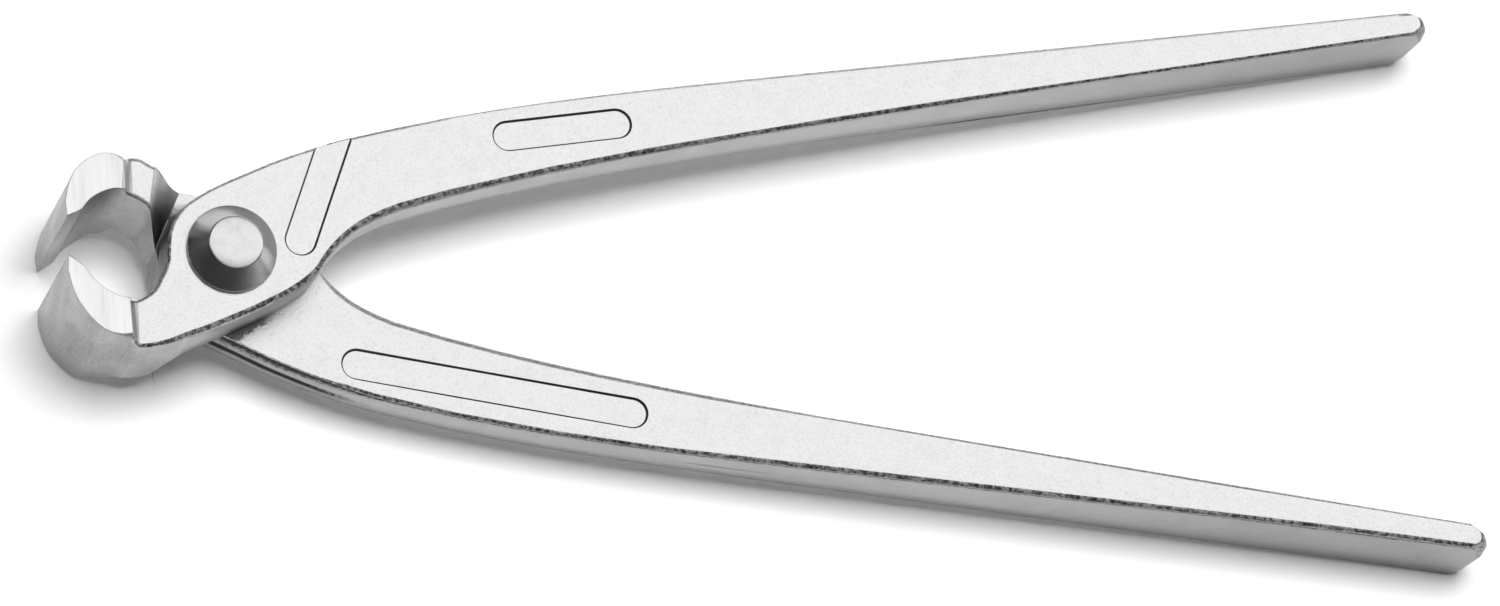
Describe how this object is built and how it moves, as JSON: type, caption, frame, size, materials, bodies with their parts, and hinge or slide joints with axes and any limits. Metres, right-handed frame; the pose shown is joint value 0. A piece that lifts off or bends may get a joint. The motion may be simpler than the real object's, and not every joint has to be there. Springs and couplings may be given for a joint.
{
  "type": "end-cutting nippers",
  "caption": "Long-handled end-cutting nippers for twisting and cutting tying wire: crossed forged levers on a rivet, with wide cutting edges across curved jaws.",
  "frame": {"origin": "centre of the flat disc on the rivet's rear head", "axes": "+Z along the rivet's axis towards its front head, +X along the tool from the jaws to the handles' tips"},
  "size_m": [0.2153, 0.0859, 0.0246],
  "materials": {
    "forged_chrome": "bright plate over a finely pitted forged surface",
    "turned_chrome": "bright, smooth turned surface"
  },
  "bodies": {
    "rear": {"rear_lever": "forged_chrome", "rivet": "turned_chrome"},
    "front": {"front_lever": "forged_chrome"}
  },
  "joints": [
    {"name": "front_lever_hinge", "type": "hinge", "parent": "rear", "child": "front", "pos_m": [0, 0, 0.011], "axis": [0, 0, 1], "range_deg": [-12.6, 36]}
  ]
}
